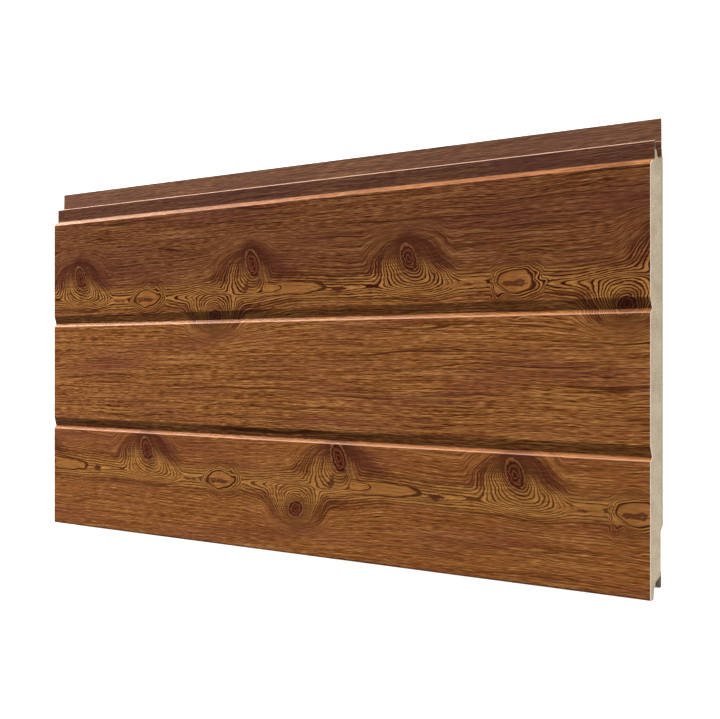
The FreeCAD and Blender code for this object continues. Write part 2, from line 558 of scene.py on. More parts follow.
    def build(self, lip_edge: float) -> bpy.types.Material:
        """Make the material.

        Args:
            lip_edge: Y of the lower lip's edge, in metres.

        Returns:
            The printed and embossed coat.
        """
        shader = Shader("wood_print_embossed_coated_steel")
        figure = self.lay_out(shader, lip_edge)
        colour = self.stain_boards(shader, figure)
        colour = self.draw_veins(shader, figure, colour)
        colour = self.darken_upper_row(shader, figure, colour)
        colour = self.gild(shader, figure, colour)
        colour = self.draw_knots(shader, figure, colour)
        unlined = shader.add("Mix", {0: self.unlined_brown, 6: colour, 7: linear(self.brown)}, **BLEND)
        colour = self.draw_lines(shader, figure, colour)
        colour = self.draw_eye(shader, figure, unlined, colour)
        colour = self.draw_tongues(shader, figure, unlined, colour)
        colour = self.draw_smears(shader, figure, colour)
        colour = self.draw_upper_edge(shader, figure, colour)
        colour = self.paint_chamfer_light_and_shade(shader, figure, colour)
        ripple = shader.grain(shader.add("CombineXYZ", [figure.along, figure.bent]), self.ripple)
        bump = shader.add("Bump", {"Strength": 1.0, "Distance": self.ripple_depth * MM, "Height": ripple})
        return shader.surface({"Base Color": colour, "Roughness": 0.4, "Specular IOR Level": 0.1,
                               "Normal": bump})

    def places(self, shader: Shader, lip_edge: float) -> tuple[Socket, Socket, Socket]:
        """Find each point's place in the printed repeat.

        Args:
            shader: the tree to add to.
            lip_edge: Y of the lower lip's edge, in metres.

        Returns:
            Place along and across the band of knots in millimetres, and 1 on the lower row.
        """
        axes = shader.add("SeparateXYZ", [shader.spot()]).node.outputs
        up = shader.add("Math", [axes["Y"], lip_edge / MM], operation="SUBTRACT")
        lower = shader.add("Math", [up, self.lower_row_top], operation="LESS_THAN")
        along = shader.add("Math", [axes["X"], self.band_start], operation="SUBTRACT")
        along = shader.add("Math", [lower, -self.row_shift, along], operation="MULTIPLY_ADD")
        across = shader.add("Math", [up, self.band_up], operation="SUBTRACT")
        across = shader.add("Math", [lower, self.row_drop, across], operation="MULTIPLY_ADD")
        return along, across, lower

    def lay_out(self, shader: Shader, lip_edge: float) -> Figure:
        """Set out the signals that the whole figure is drawn from.

        Args:
            shader: the tree to add to.
            lip_edge: Y of the lower lip's edge, in metres.

        Returns:
            The figure's signals.
        """
        along, across, lower = self.places(shader, lip_edge)
        place = shader.add("CombineXYZ", [along, across])
        swerve = shader.grain(place, self.swerve)
        bent = shader.add("Math", [shader.grain(place, self.slow), self.slow_sway, across],
                          operation="MULTIPLY_ADD")
        bent = shader.add("Math", [shader.grain(place, self.wave), self.wave_sway, bent],
                          operation="MULTIPLY_ADD")
        drawn = shader.add("Math", [swerve, self.along_sway, along], operation="MULTIPLY_ADD")
        grown, eye_reach = self.growth(shader, drawn, bent, swerve)
        off_axis = shader.add("Math", [bent], operation="ABSOLUTE")
        straight = shader.add("Math", [off_axis, self.plain_level], operation="ADD")
        far = shader.add("MapRange", [off_axis, *self.straight_span], **SMOOTH)
        grown = shader.add("Mix", {0: far, 2: grown, 3: straight})
        flow = shader.add("CombineXYZ", [along, grown])
        over_foot = shader.add("MapRange", [bent, *self.near_foot], **SMOOTH)
        near = shader.add("MapRange", [grown, *self.near_growth, 0.0, over_foot], **SMOOTH)
        return Figure(along, across, lower, place, bent, swerve, shader.grain(place, self.wobble), flow,
                      shader.grain(flow, self.fine), shader.grain(flow, self.streak), grown, near, eye_reach)

    def growth(self, shader: Shader, along: Socket, across: Socket, uneven: Socket
               ) -> tuple[Socket, Socket]:
        """Work out how far the grain has grown from the nearest knot or eye.

        Args:
            shader: the tree to add to.
            along: wavering place along the band, in millimetres.
            across: wavering place across the band, in millimetres.
            uneven: unevenness of the eye's outline.

        Returns:
            Growth in millimetres across plain grain, whose even steps are the grain lines, and the distance
            from the eye's middle, 1 at its edge.
        """
        tips = self.plain_level
        skirts = self.repeat
        for knot in self.knots:
            tip, skirt = self.knot_growth(shader, knot, along, across)
            tips = shader.add("Math", [tip, tips, self.tip_round], operation="SMOOTH_MIN")
            skirts = shader.add("Math", [skirt, skirts, self.skirt_round], operation="SMOOTH_MIN")
        mirrored = shader.add("Math", [across, -1.0], operation="MULTIPLY")
        plain = shader.add("Math", [across, mirrored, self.plain_round], operation="SMOOTH_MAX")
        grown = shader.add("Math", [plain, tips], operation="ADD")
        grown = shader.add("Math", [grown, skirts, self.skirt_round], operation="SMOOTH_MIN")
        eye, eye_reach = self.eye_growth(shader, along, across, uneven)
        return shader.add("Math", [grown, eye, self.eye_round], operation="SMOOTH_MIN"), eye_reach

    def knot_growth(self, shader: Shader, knot: Knot, along: Socket, across: Socket
                    ) -> tuple[Socket, Socket]:
        """Work out how the grain has grown round one knot.

        Args:
            shader: the tree to add to.
            knot: the knot.
            along: wavering place along the band, in millimetres.
            across: wavering place across the band, in millimetres.

        Returns:
            Growth towards the tips along the band, and growth of the skirt that hangs from the knot.
        """
        height = abs(knot.up)
        rise = shader.add("Math", [across, knot.side], operation="MULTIPLY")
        under = shader.add("Math", [height, rise], operation="SUBTRACT")
        under = shader.add("Math", [under, 0.0], operation="MAXIMUM")
        over = shader.add("Math", [rise, height + knot.half_height], operation="SUBTRACT")
        over = shader.add("Math", [over, 0.0], operation="MAXIMUM")
        over_axis = shader.add("Math", [rise, 0.0, self.axis_round], operation="SMOOTH_MAX")
        past = shader.add("Math", [over_axis, rise], operation="SUBTRACT")
        away = shader.apart(along, knot.along, self.repeat)
        away = shader.add("Math", [under, -knot.lean, away], operation="MULTIPLY_ADD")
        tip = shader.lopsided(away, knot.tip_left, knot.tip_right)
        tip = shader.add("Math", [tip, knot.tip_level], operation="ADD")
        tip = shader.add("Math", [past, self.past_tip, tip], operation="MULTIPLY_ADD")
        pull = shader.add("Math", [over_axis, 1 / self.pull_height, 1.0], operation="MULTIPLY_ADD")
        wide = shader.lopsided(away, knot.skirt_left, knot.skirt_right)
        wide = shader.add("Math", [wide, pull], operation="MULTIPLY")
        tall = shader.add("Math", [under, knot.fall], operation="MULTIPLY")
        tall = shader.add("Math", [over, self.over_slope, tall], operation="MULTIPLY_ADD")
        skirt = shader.reach(wide, tall, 1.0, 1.0)
        skirt = shader.add("Math", [past, self.past_skirt - knot.fall, skirt], operation="MULTIPLY_ADD")
        return tip, skirt

    def eye_growth(self, shader: Shader, along: Socket, across: Socket, uneven: Socket
                   ) -> tuple[Socket, Socket]:
        """Work out how the grain has grown round the eye.

        Args:
            shader: the tree to add to.
            along: wavering place along the band, in millimetres.
            across: wavering place across the band, in millimetres.
            uneven: unevenness of the eye's outline.

        Returns:
            The growth in millimetres, and the distance from the eye's middle, 1 at its edge.
        """
        eye = self.eye
        away = shader.apart(along, eye.along, self.repeat)
        away = shader.add("Math", [uneven, eye.sway_along, away], operation="MULTIPLY_ADD")
        away = shader.lopsided(away, 1 / eye.left, 1 / eye.right)
        rise = shader.add("Math", [uneven, eye.sway_across, across], operation="MULTIPLY_ADD")
        reach = shader.reach(away, rise, 1.0, eye.half_height)
        outside = shader.add("Math", [reach, 1.0], operation="SUBTRACT")
        outside = shader.add("Math", [outside, 0.0], operation="MAXIMUM")
        inside = shader.add("Math", [reach, eye.clear], operation="MAXIMUM")
        inside = shader.add("Math", [inside, eye.limit], operation="MINIMUM")
        inside = shader.add("Math", [inside, eye.steepness], operation="POWER")
        grown = shader.add("Math", [inside, eye.depth, self.plain_level - eye.depth],
                           operation="MULTIPLY_ADD")
        return shader.add("Math", [outside, eye.outer_slope, grown], operation="MULTIPLY_ADD"), reach

    def stain_boards(self, shader: Shader, figure: Figure) -> Socket:
        """Print the boards' brown ground, calmer on the lower row.

        Args:
            shader: the tree to add to.
            figure: the figure's signals.

        Returns:
            The ground colour.
        """
        contrast = shader.add("Math", [figure.lower, self.lower_contrast, self.contrast],
                              operation="MULTIPLY_ADD")
        tone = shader.add("Math", [figure.streak, self.streak_share, figure.fine], operation="MULTIPLY_ADD")
        tone = shader.add("Math", [tone, contrast, self.tone_level], operation="MULTIPLY_ADD")
        colour = shader.ink(linear(self.dark), self.ground_ink, tone)
        colour = shader.ink(colour, self.pale_ink, tone)
        return shader.ink(colour, self.ruddy_ink, shader.grain(figure.place, self.cloud))

    def draw_veins(self, shader: Shader, figure: Figure, colour: Colour) -> Socket:
        """Draw the long veins, fainter on the lower row.

        Args:
            shader: the tree to add to.
            figure: the figure's signals.
            colour: the boards' colour so far.

        Returns:
            The colour with the veins on it.
        """
        calm = shader.add("Math", [figure.lower, self.lower_veins, 1.0], operation="MULTIPLY_ADD")
        breaks = shader.grain(figure.place, self.vein_breaks)
        shown = shader.add("MapRange", [breaks, *self.vein_span, 0.0, calm], **SMOOTH)
        for vein in self.veins:
            patches = Grain(vein.length, self.vein_patch * vein.spacing, vein.seed)
            phase = shader.add("Math", [figure.grown, 2 * np.pi / vein.spacing], operation="MULTIPLY")
            phase = shader.add("Math", [shader.grain(figure.flow, patches), self.vein_drift, phase],
                               operation="MULTIPLY_ADD")
            wave = shader.add("Math", [phase], operation="COSINE")
            start, end = (1 - width / vein.spacing for width in self.vein_width)
            colour = shader.ink(colour, Ink(vein.tint, start, end, vein.strength), wave, shown)
        return colour

    def darken_upper_row(self, shader: Shader, figure: Figure, colour: Colour) -> Socket:
        """Darken the upper row upward from its band of knots.

        Args:
            shader: the tree to add to.
            figure: the figure's signals.
            colour: the boards' colour so far.

        Returns:
            The colour with the upper row darkened.
        """
        upper = shader.add("MapRange", [figure.across, *self.upper_span], **SMOOTH)
        upper = shader.add("Math", [upper, figure.lower], operation="SUBTRACT")
        return shader.add("Mix", {0: upper, 6: colour, 7: linear(self.upper_tint)}, blend_type="MULTIPLY",
                          **BLEND)

    def gild(self, shader: Shader, figure: Figure, colour: Colour) -> Socket:
        """Lay gold along the band and round the knots.

        Args:
            shader: the tree to add to.
            figure: the figure's signals.
            colour: the boards' colour so far.

        Returns:
            The colour with the gold on it.
        """
        band = shader.add("MapRange", [figure.bent, *self.gold_foot], **SMOOTH)
        band = shader.add("MapRange", [figure.bent, *self.gold_top, 0.0, band], **SMOOTH)
        cover = shader.add("MapRange", [figure.grown, *self.gold_growth], **SMOOTH)
        cover = shader.add("Math", [band, cover], operation="MAXIMUM")
        cover = shader.add("Math", [cover, figure.near], operation="MULTIPLY")
        rich = shader.add("Math", [figure.lower, self.gold_lower, self.gold_cover], operation="MULTIPLY_ADD")
        rich = shader.add("Math", [figure.streak, self.gold_streak, rich], operation="MULTIPLY_ADD")
        rich = shader.add("Math", [shader.grain(figure.place, self.gold_grain), self.gold_fleck, rich],
                          operation="MULTIPLY_ADD")
        cover = shader.add("Math", [cover, rich], operation="MULTIPLY")
        return shader.add("Mix", {0: cover, 6: colour, 7: linear(self.gold)}, **BLEND)

    def draw_knots(self, shader: Shader, figure: Figure, colour: Colour) -> Socket:
        """Draw each knot's rings, dark rim and the reddish flame over it.

        Args:
            shader: the tree to add to.
            figure: the figure's signals.
            colour: the boards' colour so far.

        Returns:
            The colour with the knots on it.
        """
        grainy = shader.add("MapRange", [figure.streak, *self.knot_grain], **SMOOTH)
        for knot in self.knots:
            away = shader.apart(figure.along, knot.along, self.repeat)
            rise = shader.add("Math", [figure.across, knot.up], operation="SUBTRACT")
            tilted = shader.add("Math", [rise, self.knot_tilt * knot.side, away], operation="MULTIPLY_ADD")
            oval = shader.reach(tilted, rise, knot.half_width, knot.half_height)
            oval = shader.add("Math", [figure.wobble, self.knot_wobble, oval], operation="MULTIPLY_ADD")
            eaves = shader.add("Math", [away], operation="ABSOLUTE")
            eaves = shader.add("Math", [eaves, self.flame_slope * knot.side, rise], operation="MULTIPLY_ADD")
            eaves = shader.add("Math", [eaves, self.flame_rise * knot.side * self.flame_height],
                               operation="SUBTRACT")
            drift = shader.add("Math", [away, self.flame_shift * self.flame_width], operation="SUBTRACT")
            cap = shader.reach(drift, eaves, self.flame_width, self.flame_height)
            cap = shader.add("Math", [figure.streak, self.flame_streak, cap], operation="MULTIPLY_ADD")
            colour = shader.ink(colour, self.flame_ink, cap, knot.flame)
            colour = shader.ink(colour, self.knot_shade, oval, grainy)
            ring = shader.add("Math", [oval, self.knot_rings], operation="MULTIPLY")
            ring = shader.add("Math", [figure.streak, self.ring_streak, ring], operation="MULTIPLY_ADD")
            ring = shader.add("Math", [ring], operation="COSINE")
            inside = shader.ink(linear(self.knot_brown), self.knot_ring, ring)
            inside = shader.ink(inside, self.knot_rim, shader.off(oval, self.rim_at))
            inside = shader.ink(inside, self.knot_pith, oval)
            colour = shader.coat(colour, inside, oval, *self.knot_edge)
        return colour

    def draw_lines(self, shader: Shader, figure: Figure, colour: Colour) -> Socket:
        """Draw the dark grain lines round the knots and the eye, wider apart as they grow.

        Args:
            shader: the tree to add to.
            figure: the figure's signals.
            colour: the boards' colour so far.

        Returns:
            The colour with the lines on it.
        """
        step = shader.add("Math", [figure.grown, 1 / self.ring_growth, 1.0], operation="MULTIPLY_ADD")
        step = shader.add("Math", [step, np.e], operation="LOGARITHM")
        step = shader.add("Math", [step, self.ring_growth / self.ring], operation="MULTIPLY")
        step = shader.add("Math", [figure.fine, self.line_fine, step], operation="MULTIPLY_ADD")
        step = shader.add("Math", [figure.wobble, self.line_wobble, step], operation="MULTIPLY_ADD")
        turn = shader.add("Math", [step, 2 * np.pi], operation="MULTIPLY")
        line = shader.add("Math", [turn], operation="COSINE")
        line = shader.add("Math", [figure.streak, self.line_streak, line], operation="MULTIPLY_ADD")
        line = shader.add("Math", [shader.grain(figure.flow, self.line_breaks), self.line_gaps, line],
                          operation="MULTIPLY_ADD")
        calm = shader.add("Math", [figure.lower, self.lower_lines, 1.0], operation="MULTIPLY_ADD")
        shown = shader.add("Math", [figure.near, calm], operation="MULTIPLY")
        return shader.ink(colour, self.line_ink, line, shown)

    def draw_eye(self, shader: Shader, figure: Figure, unlined: Colour, colour: Colour) -> Socket:
        """Clear the eye's middle and draw its dark outline.

        Args:
            shader: the tree to add to.
            figure: the figure's signals.
            unlined: the boards' dulled colour without grain lines.
            colour: the boards' colour so far.

        Returns:
            The colour with the eye on it.
        """
        colour = shader.coat(colour, unlined, figure.eye_reach, *self.eye_fill)
        return shader.ink(colour, self.eye_rim, shader.off(figure.eye_reach, self.eye.outline))

    def draw_tongues(self, shader: Shader, figure: Figure, unlined: Colour, colour: Colour) -> Socket:
        """Draw the gold tongues with their dark outlines.

        Args:
            shader: the tree to add to.
            figure: the figure's signals.
            unlined: the boards' dulled colour without grain lines, which fills the tongues.
            colour: the boards' colour so far.

        Returns:
            The colour with the tongues on it.
        """
        for tongue in self.tongues:
            away = shader.apart(figure.along, tongue.along, self.repeat)
            shown = shader.add("MapRange", [away, *self.tongue_root], **SMOOTH)
            tip = shader.add("Math", [away, 1 / tongue.length], operation="MULTIPLY")
            tip = shader.add("Math", [tip, 0.0], operation="MAXIMUM")
            tip = shader.add("Math", [tip, self.tongue_blunt], operation="POWER")
            rise = shader.add("Math", [figure.bent, tongue.up], operation="SUBTRACT")
            rise = shader.add("Math", [rise, 1 / tongue.half_width], operation="MULTIPLY")
            edge = shader.add("Math", [rise, rise, tip], operation="MULTIPLY_ADD")
            edge = shader.add("Math", [figure.swerve, self.tongue_sway, edge], operation="MULTIPLY_ADD")
            fill = shader.add("Math", [shown, self.tongue_fill], operation="MULTIPLY")
            colour = shader.coat(colour, unlined, edge, *self.tongue_edge, fill)
            outlined = shader.add("Math", [shown, tongue.weight], operation="MULTIPLY")
            colour = shader.ink(colour, self.tongue_rim, shader.off(edge, 1.0), outlined)
        return colour

    def draw_smears(self, shader: Shader, figure: Figure, colour: Colour) -> Socket:
        """Draw the dark smears along the band.

        Args:
            shader: the tree to add to.
            figure: the figure's signals.
            colour: the boards' colour so far.

        Returns:
            The colour with the smears on it.
        """
        for smear in self.smears:
            away = shader.apart(figure.along, smear.along, self.repeat)
            rise = shader.add("Math", [figure.bent, smear.up], operation="SUBTRACT")
            blot = shader.reach(away, rise, smear.half_length, smear.half_height)
            blot = shader.add("Math", [figure.wobble, self.smear_wobble, blot], operation="MULTIPLY_ADD")
            colour = shader.ink(colour, self.smear_ink, blot)
        return colour

    def draw_upper_edge(self, shader: Shader, figure: Figure, colour: Colour) -> Socket:
        """Paint shade on the tongue, a highlight along the hem's top and a sheen over the flange.

        Args:
            shader: the tree to add to.
            figure: the figure's signals.
            colour: the boards' colour so far.

        Returns:
            The colour with the upper edge on it.
        """
        # Painted shade over the tongue.
        tongue = shader.ink(colour, self.tongue_shade_ink, figure.across)
        # Painted highlight along the hem's rounded top.
        tongue = shader.ink(tongue, self.hem_highlight_ink, shader.off(figure.across, self.hem_fold))
        # Painted sheen over the flange.
        flange = shader.add("Mix", {0: self.sheen_cover, 6: colour, 7: linear(self.flange_sheen)}, **BLEND)
        beyond = shader.add("Math", [figure.across, self.flange_foot], operation="GREATER_THAN")
        return shader.add("Mix", {0: beyond, 6: tongue, 7: flange}, **BLEND)

    def paint_chamfer_light_and_shade(self, shader: Shader, figure: Figure, colour: Colour) -> Socket:
        """Paint highlights on the chamfers that face up the boards, and in the grooves paint shade over each
        chamfer and a glint along its foot.

        Args:
            shader: the tree to add to.
            figure: the figure's signals.
            colour: the boards' colour so far.

        Returns:
            The colour with the painted highlights and shade on it.
        """
        up_slope = shader.add("SeparateXYZ", [shader.add("TexCoord", {}, out="Normal")], out="Y")
        # Painted highlight on the chamfers that face up the boards.
        colour = shader.ink(colour, self.upward_highlight_ink, up_slope)
        edge = shader.add("Math", [figure.lower, self.row_drop - self.board_pitch,
                                   self.board_edge - self.band_up], operation="MULTIPLY_ADD")
        above = shader.add("Math", [figure.across, edge], operation="SUBTRACT")
        under_floor = shader.add("MapRange", [above, *self.groove_floor], **SMOOTH)
        # Painted shade over each groove's chamfer.
        colour = shader.ink(colour, self.groove_shade, above, under_floor)
        over_edge = shader.add("MapRange", [above, *self.groove_edge], **SMOOTH)
        # Painted glint along the chamfer's foot at the board's top edge.
        return shader.ink(colour, self.groove_glint, above, over_edge)


class SheetSide(IntEnum):
    """Material places on the steel sheet."""

    PRINTED = 0
    REVERSE = 1
    SHEARED = 2


@dataclass(frozen=True)
class ReverseCoat:
    """Thin grey-beige epoxy reverse coat, roller applied: dull, faintly clouded."""

    pale: str = "c9c3b5"
    dark: str = "b0a99b"
    cloud: Grain = Grain(60.0, 15.0, 5.0, 3.0)

    def build(self) -> bpy.types.Material:
        """Make the material.

        Returns:
            The finished material.
        """
        shader = Shader("epoxy_reverse_coat_on_steel")
        cloud = shader.grain(shader.spot(), self.cloud)
        colour = shader.coat(linear(self.dark), linear(self.pale), cloud, -1.2, 1.2)
        return shader.surface({"Base Color": colour, "Roughness": 0.5})


@dataclass(frozen=True)
class ShearedEdge:
    """Sheared zinc-coated steel edge: a pale burnished line along the face, and painted shade, a dull grey,
    on the edges further back.
    """

    bright: str = "f4ded4"
    # Painted shade on the edges further back than the face.
    dull: str = "5f5952"
    shade_below: float = 12.7
    blur: float = 0.1

    def build(self) -> bpy.types.Material:
        """Make the material.

        Returns:
            The finished material.
        """
        shader = Shader("sheared_galvanised_steel_edge")
        level = shader.add("SeparateXYZ", [shader.spot()], out="Z")
        # Painted shade, dull grey, on the edges further back; the burnished line along the face.
        colour = shader.coat(linear(self.dull), linear(self.bright), level, self.shade_below - self.blur,
                             self.shade_below + self.blur)
        return shader.surface({"Base Color": colour, "Metallic": 1.0, "Roughness": 0.45})


@dataclass(frozen=True)
class SawnFoam:
    """Rigid polyurethane foam, sawn at the ends: matte cream, with fine open cells, and grey-green along the
    back.
    """

    cream: str = "cdbda4"
    shade: str = "b2a086"
    rear_tint: str = "a19d80"
    # Real cells are about 0.3 mm, so they are drawn four times as wide to show.
    cell: float = 1.3
    cell_depth: float = 0.3
    cloud: float = 16.667
    # Within about 1 mm of the foil the foam is drawn as a grey-green line.
    rear_tint_level: tuple[float, float] = (1.6, 0.6)

    def build(self) -> bpy.types.Material:
        """Make the material.

        Returns:
            The finished material.
        """
        shader = Shader("sawn_rigid_polyurethane_foam")
        place = shader.spot()
        cells = shader.add("TexVoronoi", {"Vector": place, "Scale": 1 / self.cell}, out="Distance")
        cloud = shader.add("TexNoise", {"Vector": place, "Scale": 1 / self.cloud, "Detail": 3.0})
        mottle = shader.add("Math", [cells, 0.5, cloud], operation="MULTIPLY_ADD")
        colour = shader.coat(linear(self.cream), linear(self.shade), mottle, 0.35, 1.1)
        level = shader.add("SeparateXYZ", [place], out="Z")
        colour = shader.coat(colour, linear(self.rear_tint), level, *self.rear_tint_level)
        bump = shader.add("Bump", {"Strength": 0.6, "Distance": self.cell_depth * MM, "Height": cells})
        return shader.surface({"Base Color": colour, "Roughness": 0.9, "Normal": bump})


@dataclass(frozen=True)
class StuccoFoil:
    """Aluminium foil facing with a stucco emboss and a dull greenish lacquer."""

    light: str = "a7a48f"
    dark: str = "9b9884"
    pebble: float = 3.0
    pebble_depth: float = 0.25
    cloud: Grain = Grain(90.0, 60.0, 5.0, 2.0)

    def build(self) -> bpy.types.Material:
        """Make the material.

        Returns:
            The finished material.
        """
        shader = Shader("lacquered_stucco_aluminium_foil")
        place = shader.spot()
        stucco = shader.add("TexVoronoi", {"Vector": place, "Scale": 1 / self.pebble}, out="Distance",
                            feature="SMOOTH_F1")
        cloud = shader.grain(place, self.cloud)
        colour = shader.coat(linear(self.dark), linear(self.light), cloud, -1.0, 1.0)
        bump = shader.add("Bump", {"Strength": 0.5, "Distance": self.pebble_depth * MM, "Height": stucco})
        return shader.surface({"Base Color": colour, "Metallic": 0.8, "Roughness": 0.45, "Normal": bump})


@dataclass(frozen=True)
class OpalFloor:
    """Backlit opal acrylic studio floor: an even near-white that keeps only a faint shadow."""

    white: str = "d0d0d0"
    glow: float = 1.6

    def build(self) -> bpy.types.Material:
        """Make the material.

        Returns:
            The finished material.
        """
        shader = Shader("backlit_opal_acrylic_floor")
        return shader.surface({"Base Color": linear(self.white), "Roughness": 0.6,
                               "Emission Color": linear(self.white), "Emission Strength": self.glow})


@dataclass
class EndOutline:
    """Outline of a solid's end: an ordered loop of places across and up, in metres."""

    points: np.ndarray
    half_length: float

    @classmethod
    def of_node(cls, name: str) -> "EndOutline":
        """Read the outline of a solid's right end.

        Args:
            name: the solid's node.

        Returns:
            The outline, anticlockwise seen from the right.
        """
        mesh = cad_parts[name].data
        places = np.empty(len(mesh.vertices) * 3)
        mesh.vertices.foreach_get("co", places)
        places = places.reshape(-1, 3)
        mesh.calc_loop_triangles()
        corners = np.empty(len(mesh.loop_triangles) * 3, int)
        mesh.loop_triangles.foreach_get("vertices", corners)
        corners = corners.reshape(-1, 3)
        half_length = float(places[:, 0].max())
        at_end = places[:, 0] > half_length - 1e-6
        spots, owner = np.unique(np.round(places[:, 1:], 7), axis=0, return_inverse=True)
        cap = owner.ravel()[corners[at_end[corners].all(axis=1)]]
        edges = {(int(t[i]), int(t[i - 2])) for t in cap for i in range(3)}
        follow = {a: b for a, b in edges if (b, a) not in edges}
        loop = [min(follow)]
        while follow[loop[-1]] != loop[0]:
            loop.append(follow[loop[-1]])
        return cls(spots[loop], half_length)

    def cut_edges(self, thickness: float) -> list[int]:
        """Find where a strip's outline turns straight back, at the strip's two long edges.

        Args:
            thickness: most that the strip is thick, in metres.

        Returns:
            Places in the loop where each such edge begins.
        """
        steps = np.roll(self.points, -1, axis=0) - self.points
        spans = np.linalg.norm(steps, axis=1)
        ways = steps / spans[:, None]
        back = (np.roll(ways, 1, axis=0) * np.roll(ways, -1, axis=0)).sum(axis=1) < -0.999
        return np.flatnonzero(back & (spans < thickness)).tolist()


def divided(path: np.ndarray, step: float, closed: bool = False, hold: float = 0.0) -> np.ndarray:
    """Add points to a path so that no stretch is longer than a step.

    Args:
        path: points in order.
        step: longest stretch allowed.
        closed: whether the last point leads back to the first.
        hold: distance of an added point from both ends of a long stretch, which keeps bends crisp.

    Returns:
        The path with its own points and those added between them.
    """
    ends = np.roll(path, -1, axis=0) if closed else path[1:]
    parts = []
    for start, end in zip(path, ends):
        length = np.linalg.norm(end - start)
        count = max(1, int(np.ceil(length / step - 1e-6)))
        places = np.arange(count) / count
        if hold and count > 2:
            places = np.sort(np.append(places, [hold / length, 1 - hold / length]))
        parts.append(start + (end - start) * places[:, None])
    if not closed:
        parts.append(path[-1:])
    return np.concatenate(parts)


def new_piece(name: str, points: np.ndarray, faces: list, node: str) -> bpy.types.Object:
    """Make a mesh piece that stands for a solid.

    Args:
        name: the piece's name.
        points: vertex places in metres.
        faces: vertex numbers of each face.
        node: the solid that it stands for.

    Returns:
        The linked object.
    """
    mesh = bpy.data.meshes.new(name)
    mesh.from_pydata(points.tolist(), [], faces)
    mesh.validate()
    piece = bpy.data.objects.new(name, mesh)
    bpy.context.scene.collection.objects.link(piece)
    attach(piece, "root")
    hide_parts(node)
    return piece


@dataclass
class FaceSheet:
    """The roll-formed steel sheet, from the flange over the tongue and boards to the return leg."""

    node: str = "face_sheet"
    across_step: float = 2.0
    bend_hold: float = 0.3
    along_step: float = 4.5
    reverse_step: float = 25.0
    emboss: float = 0.05
    sway: float = 1.5
    sway_grain: Grain = Grain(90.0, 25.0, 1.0)
    long_grain: Grain = Grain(70.0, 6.0, 2.0)
    short_grain: Grain = Grain(25.0, 4.0, 3.0)
    short_share: float = 0.6
    thickest: float = 0.65
    sharp_bend: float = 40.0

    def paths(self, outline: EndOutline) -> tuple[np.ndarray, np.ndarray]:
        """Split the sheet's outline into its two sides.

        Args:
            outline: the sheet's end.

        Returns:
            The printed side and the reverse side, both from flange to return leg, in metres.
        """
        first, second = outline.cut_edges(self.thickest * MM)
        one = outline.points[first + 1:second + 1]
        other = np.roll(outline.points, -(second + 1), axis=0)[:len(outline.points) - len(one)][::-1]
        printed, reverse = (one, other) if one[:, 1].max() > other[:, 1].max() else (other, one)
        return (divided(printed, self.across_step * MM, hold=self.bend_hold * MM),
                divided(reverse, self.reverse_step * MM))

    def relief(self, along: np.ndarray, across: np.ndarray) -> np.ndarray:
        """Height of the embossed grain, drawn out along the boards.

        Args:
            along: places along the boards, in millimetres.
            across: developed places across the sheet, in millimetres.

        Returns:
            Heights in millimetres.
        """
        swayed = across + self.sway * self.sway_grain.heights(along, across)
        short = self.short_share * self.short_grain.heights(along, swayed)
        return self.emboss * (self.long_grain.heights(along, swayed) + short)

    def build(self) -> bpy.types.Object:
        """Make the sheet's mesh with its relief.

        Returns:
            The sheet, closed, with its printed, reverse and sheared faces told apart.
        """
        outline = EndOutline.of_node(self.node)
        printed, reverse = self.paths(outline)
        steps = np.gradient(printed, axis=0)
        ways = steps / np.linalg.norm(steps, axis=1)[:, None]
        outward = np.stack([ways[:, 1], -ways[:, 0]], axis=1)
        if outward[np.argmax(printed[:, 1]), 1] < 0:
            outward = -outward
        developed = np.concatenate([[0.0], np.cumsum(np.linalg.norm(np.diff(printed, axis=0), axis=1))])
        rows = int(round(2 * outline.half_length / (self.along_step * MM))) + 1
        stations = np.linspace(-outline.half_length, outline.half_length, rows)
        height = self.relief(stations[:, None] / MM, developed[None, :] / MM) * MM
        front = np.empty((rows, len(printed), 3))
        front[:, :, 0] = stations[:, None]
        front[:, :, 1:] = printed[None] + outward[None] * height[:, :, None]
        back = np.empty((2, len(reverse), 3))
        back[:, :, 0] = stations[[0, -1], None]
        back[:, :, 1:] = reverse[None]
        points = np.concatenate([front.reshape(-1, 3), back.reshape(-1, 3)])
        columns, first_back = len(printed), rows * len(printed)
        faces, sides = [], []
        for row in range(rows - 1):
            for column in range(columns - 1):
                corner = row * columns + column
                faces.append((corner, corner + columns, corner + columns + 1, corner + 1))
                sides.append(SheetSide.PRINTED)
        for column in range(len(reverse) - 1):
            corner = first_back + column
            faces.append((corner, corner + 1, corner + len(reverse) + 1, corner + len(reverse)))
            sides.append(SheetSide.REVERSE)
        left = list(range(columns))
        left_back = list(range(first_back, first_back + len(reverse)))
        right = [(rows - 1) * columns + c for c in left]
        right_back = [v + len(reverse) for v in left_back]
        faces += [left + left_back[::-1], right[::-1] + right_back]
        for column, spot in ((0, 0), (columns - 1, len(reverse) - 1)):
            edge = [row * columns + column for row in range(rows)] + [right_back[spot], left_back[spot]]
            faces.append(edge if column else edge[::-1])
        sides += [SheetSide.SHEARED] * 4
        piece = new_piece("embossed_face_sheet", points, faces, self.node)
        piece.data.polygons.foreach_set("material_index", [int(s) for s in sides])
        piece.data.polygons.foreach_set("use_smooth", [s != SheetSide.SHEARED for s in sides])
        piece.data.set_sharp_from_angle(angle=np.radians(self.sharp_bend))
        return piece

    def dress(self, piece: bpy.types.Object) -> None:
        """Give the sheet its printed coat, reverse coat and sheared edge.

        Args:
            piece: the sheet.
        """
        lip_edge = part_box(self.node)[0].y
        for finish in (WoodPrintSteel().build(lip_edge), ReverseCoat().build(), ShearedEdge().build()):
            piece.data.materials.append(finish)


